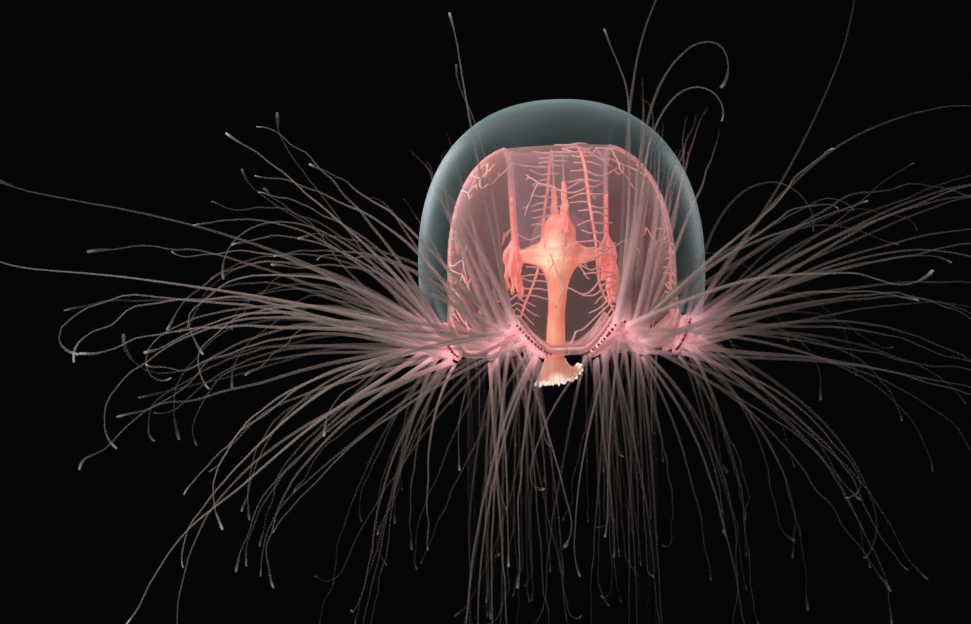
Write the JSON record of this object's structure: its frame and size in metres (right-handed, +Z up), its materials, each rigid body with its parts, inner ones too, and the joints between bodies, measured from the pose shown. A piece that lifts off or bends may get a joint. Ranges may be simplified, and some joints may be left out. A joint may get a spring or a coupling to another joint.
{
  "type": "hair jelly medusa display model",
  "caption": "Life-size still model of a hair jelly, a bell-shaped hydromedusa with clustered trailing tentacles, on a clear display stand.",
  "frame": {"origin": "centre of the underside of the round stand base", "axes": "+Z up along the stand; -Y is the side that faces the viewer, +X to the viewer's right"},
  "size_m": [0.2341, 0.2363, 0.1916],
  "materials": {
    "bell_gel": "wet clear jelly, blue-grey at the edges",
    "membrane": "thin pink membrane",
    "clear_jelly": "clear pinkish jelly",
    "gut": "soft salmon-orange tissue that glows through the jelly",
    "lip_tissue": "frilled cream-white tissue",
    "canal_tissue": "coral-pink canals and gonads",
    "tentacle_tissue": "translucent dusty pink, paler at the tips",
    "eye_spots": "dark maroon eye spots",
    "clear_acrylic": "polished clear acrylic"
  },
  "bodies": {
    "root": {"bell": "bell_gel", "velum": "membrane", "peduncle": "clear_jelly", "stomach": "gut", "manubrium": "gut", "lips": "lip_tissue", "canal_1": "canal_tissue", "canal_2": "canal_tissue", "canal_3": "canal_tissue", "canal_4": "canal_tissue", "gonad_1": "canal_tissue", "gonad_2": "canal_tissue", "gonad_3": "canal_tissue", "gonad_4": "canal_tissue", "tentacles_1_raised": "tentacle_tissue", "tentacles_1_spread": "tentacle_tissue", "tentacles_1_hanging": "tentacle_tissue", "tentacles_2_raised": "tentacle_tissue", "tentacles_2_spread": "tentacle_tissue", "tentacles_2_hanging": "tentacle_tissue", "tentacles_3_raised": "tentacle_tissue", "tentacles_3_spread": "tentacle_tissue", "tentacles_3_hanging": "tentacle_tissue", "tentacles_4_raised": "tentacle_tissue", "tentacles_4_spread": "tentacle_tissue", "tentacles_4_hanging": "tentacle_tissue", "tentacles_5_raised": "tentacle_tissue", "tentacles_5_spread": "tentacle_tissue", "tentacles_5_hanging": "tentacle_tissue", "tentacles_6_raised": "tentacle_tissue", "tentacles_6_spread": "tentacle_tissue", "tentacles_6_hanging": "tentacle_tissue", "tentacles_7_raised": "tentacle_tissue", "tentacles_7_spread": "tentacle_tissue", "tentacles_7_hanging": "tentacle_tissue", "tentacles_8_raised": "tentacle_tissue", "tentacles_8_spread": "tentacle_tissue", "tentacles_8_hanging": "tentacle_tissue", "stand_base": "clear_acrylic", "stand_rod_left": "clear_acrylic", "stand_rod_right": "clear_acrylic"}
  },
  "joints": []
}
